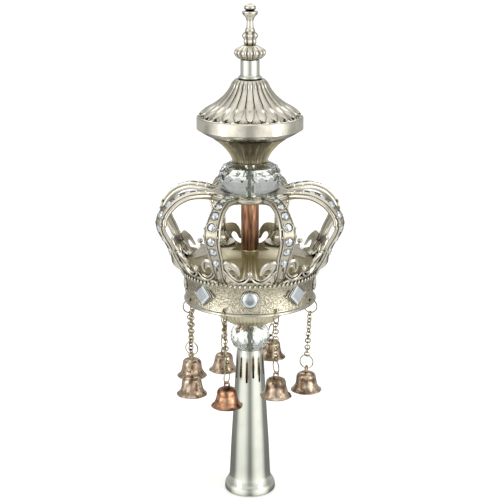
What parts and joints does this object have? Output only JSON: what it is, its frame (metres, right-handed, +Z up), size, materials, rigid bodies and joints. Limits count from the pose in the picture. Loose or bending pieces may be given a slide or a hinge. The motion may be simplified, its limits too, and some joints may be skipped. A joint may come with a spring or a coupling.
{
  "type": "torah finial",
  "caption": "Crown-shaped finial on a tapering open socket, with cut-crystal beads, a fluted canopy, a spire and small bells hanging on chains from its lip.",
  "frame": {"origin": "centre of the foot's flat underside, at the socket's mouth", "axes": "+Z up along the finial's axis to the spire's tip, -Y towards the viewer, a round stone on the crown's band faces -Y"},
  "size_m": [0.1292, 0.1292, 0.35],
  "materials": {
    "bright_nickel": "cast, nickel plated, polished high parts over darker hollows",
    "satin_nickel": "turned, nickel plated, fine satin",
    "antiqued_nickel": "cast, nickel plated, toned khaki",
    "aged_copper": "bare copper tube with brown streaks",
    "steel": "drawn rod",
    "bell_metal": "stamped brass, thin worn nickel",
    "chain_wire": "plated wire, toned",
    "crystal": "cut and polished clear crystal",
    "clear_stone": "clear stone with a silvered back"
  },
  "bodies": {
    "root": {"shaft": "satin_nickel", "lower_bead": "crystal", "lower_cup": "antiqued_nickel", "coronet": "bright_nickel", "inner_collar": "antiqued_nickel", "copper_sleeve": "aged_copper", "centre_rod": "steel", "crown_arches": "bright_nickel", "upper_bead": "crystal", "upper_cup": "antiqued_nickel", "canopy": "bright_nickel", "neck": "satin_nickel", "spire": "bright_nickel", "round_stone_1": "clear_stone", "round_stone_2": "clear_stone", "round_stone_3": "clear_stone", "round_stone_4": "clear_stone", "square_stone_1": "clear_stone", "square_stone_2": "clear_stone", "square_stone_3": "clear_stone", "square_stone_4": "clear_stone", "bell_1": "bell_metal", "clapper_1": "bell_metal", "chain_1": "chain_wire", "bell_2": "bell_metal", "clapper_2": "bell_metal", "chain_2": "chain_wire", "bell_3": "bell_metal", "clapper_3": "bell_metal", "chain_3": "chain_wire", "bell_4": "bell_metal", "clapper_4": "bell_metal", "chain_4": "chain_wire", "bell_5": "bell_metal", "clapper_5": "bell_metal", "chain_5": "chain_wire", "bell_6": "bell_metal", "clapper_6": "bell_metal", "chain_6": "chain_wire", "bell_7": "bell_metal", "clapper_7": "bell_metal", "chain_7": "chain_wire"}
  },
  "joints": []
}
